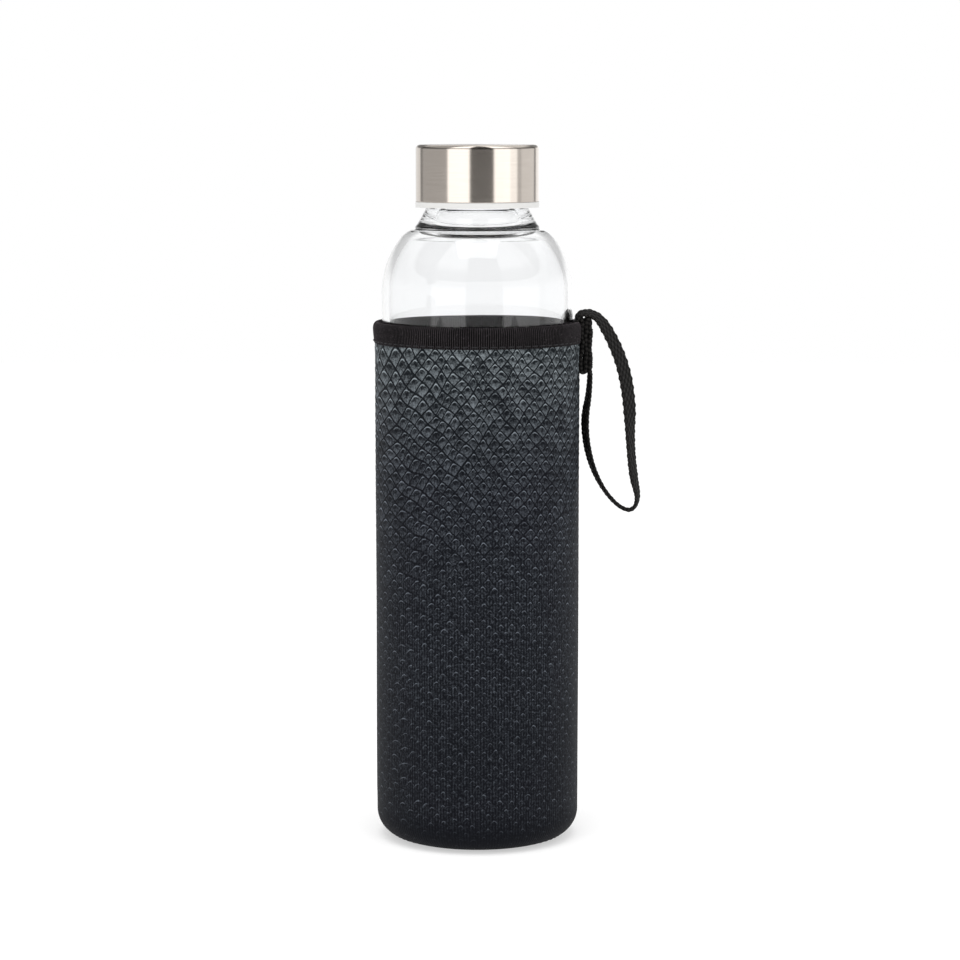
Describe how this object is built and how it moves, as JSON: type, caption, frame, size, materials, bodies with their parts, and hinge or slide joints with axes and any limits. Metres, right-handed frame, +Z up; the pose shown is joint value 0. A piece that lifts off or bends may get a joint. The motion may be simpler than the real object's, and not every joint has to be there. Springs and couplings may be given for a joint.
{
  "type": "glass water bottle",
  "caption": "Clear glass water bottle with a brushed steel screw lid, in a padded scale-embossed sleeve with bound rim and webbing wrist loop.",
  "frame": {"origin": "on the bottle's axis at the flat underside of the sleeve, where it stands", "axes": "+Z up along the bottle's axis towards the lid, +X towards the sleeve's side seam and wrist loop, -Y towards the viewer of the picture"},
  "size_m": [0.091, 0.0716, 0.2373],
  "materials": {
    "glass": "clear polished borosilicate",
    "brushed_steel": "fine circumferential brushing",
    "white_plastic": "white moulded polypropylene",
    "silicone": "translucent white silicone",
    "scale_fabric": "embossed scale pattern, satin",
    "neoprene": "matt closed-cell foam",
    "lining_fabric": "plain knit",
    "base_fabric": "embossed scale pattern, satin",
    "binding_tape": "ribbed grosgrain",
    "webbing": "coarse plain weave",
    "sewing_thread": "twisted polyester"
  },
  "bodies": {
    "sleeve": {"wall_face": "scale_fabric", "wall_foam": "neoprene", "wall_lining": "lining_fabric", "base_face": "base_fabric", "base_foam": "neoprene", "base_lining": "lining_fabric", "rim_binding": "binding_tape", "strap_loop": "webbing", "strap_tab": "webbing", "binding_stitches": "sewing_thread", "side_seam_stitches": "sewing_thread", "base_seam_stitches": "sewing_thread", "tab_stitches": "sewing_thread"},
    "bottle": {"glass_bottle": "glass"},
    "seal": {"lid_seal": "silicone"},
    "lid": {"lid_shell": "brushed_steel", "lid_liner": "white_plastic"}
  },
  "joints": [
    {"name": "bottle_slide", "type": "slide", "parent": "sleeve", "child": "bottle", "axis": [0, 0, 1], "range_m": [0, 0.19]},
    {"name": "lid_rise", "type": "slide", "parent": "bottle", "child": "seal", "axis": [0, 0, 1], "range_m": [0, 0.0295]},
    {"name": "lid_turn", "type": "hinge", "parent": "seal", "child": "lid", "pos_m": [0, 0, 0.2162], "axis": [0, 0, 1], "range_deg": [0, 2520]}
  ],
  "couplings": [
    {"joint": "lid_rise", "follows": "lid_turn", "m_per_rad": 0.00066845}
  ]
}
